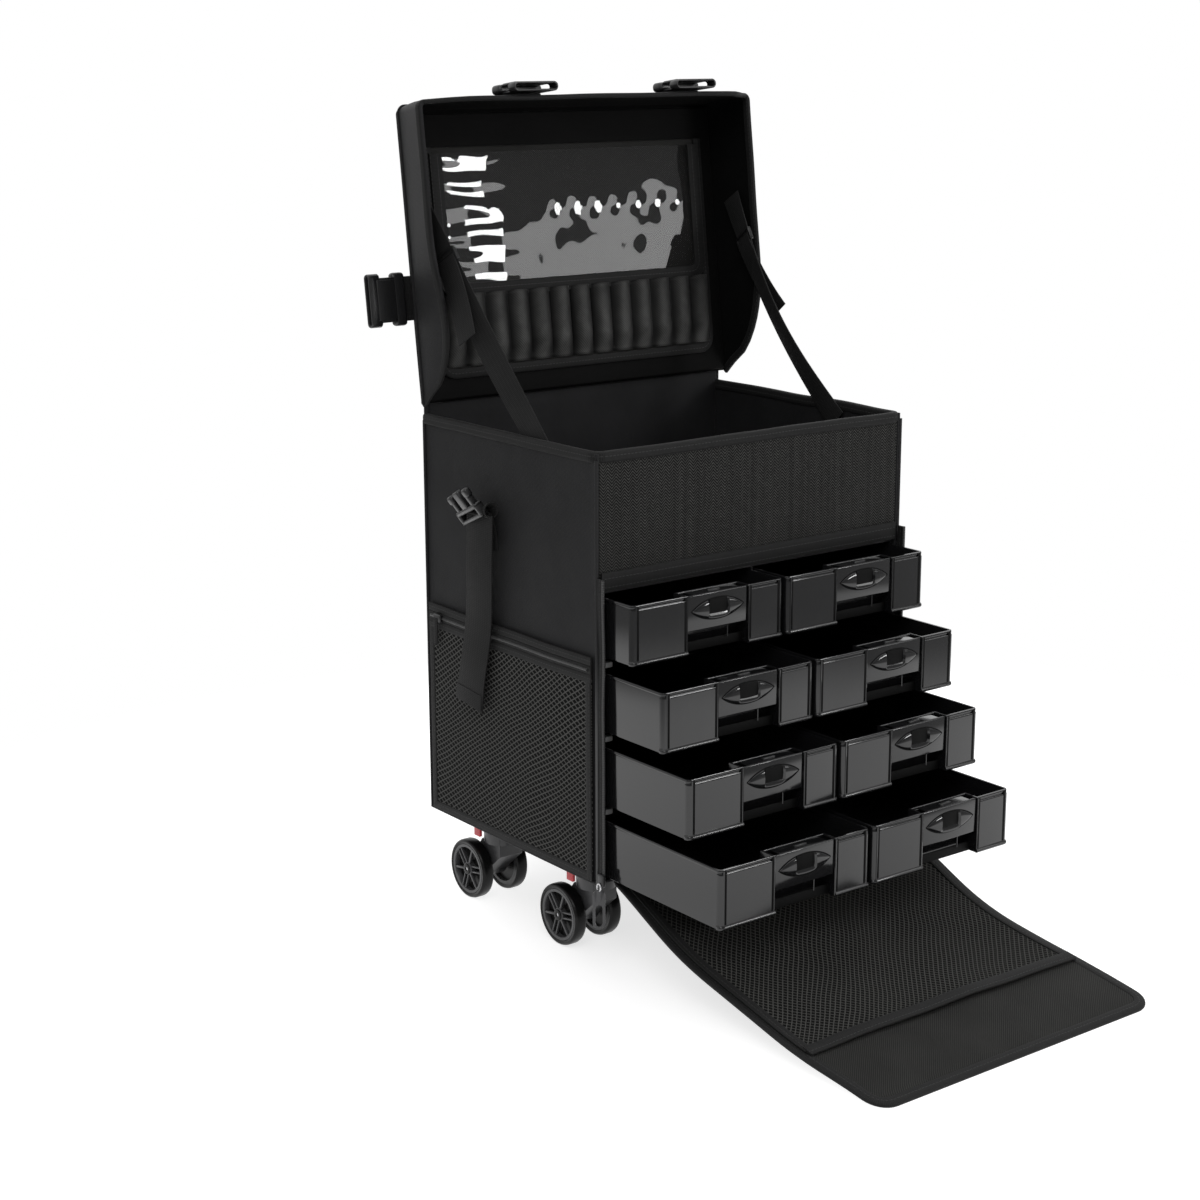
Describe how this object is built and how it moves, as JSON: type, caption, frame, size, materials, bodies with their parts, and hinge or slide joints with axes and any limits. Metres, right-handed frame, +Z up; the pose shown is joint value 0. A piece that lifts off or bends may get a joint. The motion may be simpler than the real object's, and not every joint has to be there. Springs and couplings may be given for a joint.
{
  "type": "rolling makeup case",
  "caption": "Soft-sided rolling makeup case standing open: hinged lid with organiser, upper compartment, staggered gloss drawers, zip-down front flap, swivel casters and telescopic handle.",
  "frame": {"origin": "on the floor, under the middle of the whole box as it stands open", "axes": "+Z up, front and drawers towards -Y, left side of the case at -X"},
  "size_m": [0.48, 0.6814, 0.7968],
  "materials": {
    "cloth": "matt black woven nylon over foam and board",
    "twill_cloth": "black twill",
    "mesh": "black open mesh",
    "webbing": "black ribbed webbing",
    "gloss_plastic": "glossy black moulded plastic",
    "matt_plastic": "fine textured black moulded plastic",
    "clear_sheet": "clear flexible sheet",
    "red_plastic": "red moulded plastic",
    "dark_tube": "black coated tube",
    "steel": "bright steel",
    "tread": "black tread"
  },
  "bodies": {
    "case": {"left_panel": "cloth", "right_panel": "cloth", "back_panel": "cloth", "base_panel": "cloth", "upper_front_panel": "twill_cloth", "edge_binding": "webbing", "drawer_cabinet": "matt_plastic", "side_pockets": "mesh", "side_straps": "webbing", "side_buckle_plugs": "matt_plastic", "trolley_housing": "matt_plastic", "trolley_outer_tubes": "dark_tube", "caster_sockets": "matt_plastic"},
    "lid": {"lid_shell": "cloth", "lid_organiser": "twill_cloth", "lid_clear_pocket": "clear_sheet", "lid_straps": "webbing", "lid_buckle_sockets": "matt_plastic", "lid_stays": "webbing", "carry_handle_brackets": "matt_plastic"},
    "carry_handle": {"carry_handle": "gloss_plastic"},
    "flap": {"front_flap": "cloth", "flap_pocket": "mesh", "flap_buckle_plugs": "matt_plastic"},
    "handle_middle": {"handle_middle_tubes": "dark_tube"},
    "handle_top": {"handle_top_tubes": "dark_tube", "handle_grip": "matt_plastic"},
    "handle_button": {"handle_button": "gloss_plastic"},
    "left_drawer_1": {"left_drawer_1": "gloss_plastic"},
    "left_drawer_2": {"left_drawer_2": "gloss_plastic"},
    "left_drawer_3": {"left_drawer_3": "gloss_plastic"},
    "left_drawer_4": {"left_drawer_4": "gloss_plastic"},
    "right_drawer_1": {"right_drawer_1": "gloss_plastic"},
    "right_drawer_2": {"right_drawer_2": "gloss_plastic"},
    "right_drawer_3": {"right_drawer_3": "gloss_plastic"},
    "right_drawer_4": {"right_drawer_4": "gloss_plastic"},
    "front_left_fork": {"front_left_fork": "matt_plastic"},
    "front_left_wheels": {"front_left_wheels": "tread", "front_left_axle": "steel"},
    "front_right_fork": {"front_right_fork": "matt_plastic"},
    "front_right_wheels": {"front_right_wheels": "tread", "front_right_axle": "steel"},
    "rear_left_fork": {"rear_left_fork": "matt_plastic"},
    "rear_left_wheels": {"rear_left_wheels": "tread", "rear_left_axle": "steel"},
    "rear_right_fork": {"rear_right_fork": "matt_plastic"},
    "rear_right_wheels": {"rear_right_wheels": "tread", "rear_right_axle": "steel"},
    "left_latch_1": {"left_latch_1": "gloss_plastic"},
    "left_latch_2": {"left_latch_2": "gloss_plastic"},
    "left_latch_3": {"left_latch_3": "gloss_plastic"},
    "left_latch_4": {"left_latch_4": "gloss_plastic"},
    "right_latch_1": {"right_latch_1": "gloss_plastic"},
    "right_latch_2": {"right_latch_2": "gloss_plastic"},
    "right_latch_3": {"right_latch_3": "gloss_plastic"},
    "right_latch_4": {"right_latch_4": "gloss_plastic"},
    "front_left_release": {"front_left_release": "red_plastic"},
    "front_right_release": {"front_right_release": "red_plastic"},
    "rear_left_release": {"rear_left_release": "red_plastic"},
    "rear_right_release": {"rear_right_release": "red_plastic"}
  },
  "joints": [
    {"name": "lid_hinge", "type": "hinge", "parent": "case", "child": "lid", "pos_m": [0, 0.28144, 0.4974], "axis": [-1, 0, 0], "range_deg": [-97, 0], "deforming": ["lid_stays"]},
    {"name": "flap_hinge", "type": "hinge", "parent": "case", "child": "flap", "pos_m": [0, 0.00734, 0.091], "axis": [1, 0, 0], "range_deg": [-103.8, 0], "deforming": ["front_flap", "flap_pocket"]},
    {"name": "left_drawer_1_slide", "type": "slide", "parent": "case", "child": "left_drawer_1", "axis": [0, -1, 0], "range_m": [-0.043, 0.157]},
    {"name": "left_drawer_2_slide", "type": "slide", "parent": "case", "child": "left_drawer_2", "axis": [0, -1, 0], "range_m": [-0.086, 0.114]},
    {"name": "left_drawer_3_slide", "type": "slide", "parent": "case", "child": "left_drawer_3", "axis": [0, -1, 0], "range_m": [-0.121, 0.079]},
    {"name": "left_drawer_4_slide", "type": "slide", "parent": "case", "child": "left_drawer_4", "axis": [0, -1, 0], "range_m": [-0.164, 0.036]},
    {"name": "right_drawer_1_slide", "type": "slide", "parent": "case", "child": "right_drawer_1", "axis": [0, -1, 0], "range_m": [-0.043, 0.157]},
    {"name": "right_drawer_2_slide", "type": "slide", "parent": "case", "child": "right_drawer_2", "axis": [0, -1, 0], "range_m": [-0.086, 0.114]},
    {"name": "right_drawer_3_slide", "type": "slide", "parent": "case", "child": "right_drawer_3", "axis": [0, -1, 0], "range_m": [-0.121, 0.079]},
    {"name": "right_drawer_4_slide", "type": "slide", "parent": "case", "child": "right_drawer_4", "axis": [0, -1, 0], "range_m": [-0.164, 0.036]},
    {"name": "handle_middle_slide", "type": "slide", "parent": "case", "child": "handle_middle", "axis": [0, 0, 1], "range_m": [0, 0.245]},
    {"name": "handle_top_slide", "type": "slide", "parent": "handle_middle", "child": "handle_top", "axis": [0, 0, 1], "range_m": [0, 0.245]},
    {"name": "handle_button_press", "type": "slide", "parent": "handle_top", "child": "handle_button", "axis": [0, 0, 1], "range_m": [-0.003, 0], "stiffness_N_per_m": 600},
    {"name": "carry_handle_hinge", "type": "hinge", "parent": "lid", "child": "carry_handle", "pos_m": [0, 0.30339, 0.61057], "axis": [-1, 0, 0], "range_deg": [-80, 0]},
    {"name": "front_left_swivel", "type": "hinge", "parent": "case", "child": "front_left_fork", "pos_m": [-0.14, 0.07134, 0.0766], "axis": [0, 0, 1], "continuous": true},
    {"name": "front_right_swivel", "type": "hinge", "parent": "case", "child": "front_right_fork", "pos_m": [0.14, 0.07134, 0.0766], "axis": [0, 0, 1], "continuous": true},
    {"name": "rear_left_swivel", "type": "hinge", "parent": "case", "child": "rear_left_fork", "pos_m": [-0.14, 0.22534, 0.0766], "axis": [0, 0, 1], "continuous": true},
    {"name": "rear_right_swivel", "type": "hinge", "parent": "case", "child": "rear_right_fork", "pos_m": [0.14, 0.22534, 0.0766], "axis": [0, 0, 1], "continuous": true},
    {"name": "front_left_wheel_spin", "type": "hinge", "parent": "front_left_fork", "child": "front_left_wheels", "pos_m": [-0.14, 0.09634, 0.03], "axis": [1, 0, 0], "continuous": true},
    {"name": "front_right_wheel_spin", "type": "hinge", "parent": "front_right_fork", "child": "front_right_wheels", "pos_m": [0.14, 0.09634, 0.03], "axis": [1, 0, 0], "continuous": true},
    {"name": "rear_left_wheel_spin", "type": "hinge", "parent": "rear_left_fork", "child": "rear_left_wheels", "pos_m": [-0.14, 0.25034, 0.03], "axis": [1, 0, 0], "continuous": true},
    {"name": "rear_right_wheel_spin", "type": "hinge", "parent": "rear_right_fork", "child": "rear_right_wheels", "pos_m": [0.14, 0.25034, 0.03], "axis": [1, 0, 0], "continuous": true},
    {"name": "left_latch_1_press", "type": "slide", "parent": "left_drawer_1", "child": "left_latch_1", "axis": [0, 0, 1], "range_m": [-0.003, 0], "stiffness_N_per_m": 500},
    {"name": "left_latch_2_press", "type": "slide", "parent": "left_drawer_2", "child": "left_latch_2", "axis": [0, 0, 1], "range_m": [-0.003, 0], "stiffness_N_per_m": 500},
    {"name": "left_latch_3_press", "type": "slide", "parent": "left_drawer_3", "child": "left_latch_3", "axis": [0, 0, 1], "range_m": [-0.003, 0], "stiffness_N_per_m": 500},
    {"name": "left_latch_4_press", "type": "slide", "parent": "left_drawer_4", "child": "left_latch_4", "axis": [0, 0, 1], "range_m": [-0.003, 0], "stiffness_N_per_m": 500},
    {"name": "right_latch_1_press", "type": "slide", "parent": "right_drawer_1", "child": "right_latch_1", "axis": [0, 0, 1], "range_m": [-0.003, 0], "stiffness_N_per_m": 500},
    {"name": "right_latch_2_press", "type": "slide", "parent": "right_drawer_2", "child": "right_latch_2", "axis": [0, 0, 1], "range_m": [-0.003, 0], "stiffness_N_per_m": 500},
    {"name": "right_latch_3_press", "type": "slide", "parent": "right_drawer_3", "child": "right_latch_3", "axis": [0, 0, 1], "range_m": [-0.003, 0], "stiffness_N_per_m": 500},
    {"name": "right_latch_4_press", "type": "slide", "parent": "right_drawer_4", "child": "right_latch_4", "axis": [0, 0, 1], "range_m": [-0.003, 0], "stiffness_N_per_m": 500},
    {"name": "front_left_release_press", "type": "slide", "parent": "case", "child": "front_left_release", "axis": [-1, 0, 0], "range_m": [-0.0015, 0], "stiffness_N_per_m": 600},
    {"name": "front_right_release_press", "type": "slide", "parent": "case", "child": "front_right_release", "axis": [1, 0, 0], "range_m": [-0.0015, 0], "stiffness_N_per_m": 600},
    {"name": "rear_left_release_press", "type": "slide", "parent": "case", "child": "rear_left_release", "axis": [-1, 0, 0], "range_m": [-0.0015, 0], "stiffness_N_per_m": 600},
    {"name": "rear_right_release_press", "type": "slide", "parent": "case", "child": "rear_right_release", "axis": [1, 0, 0], "range_m": [-0.0015, 0], "stiffness_N_per_m": 600}
  ]
}
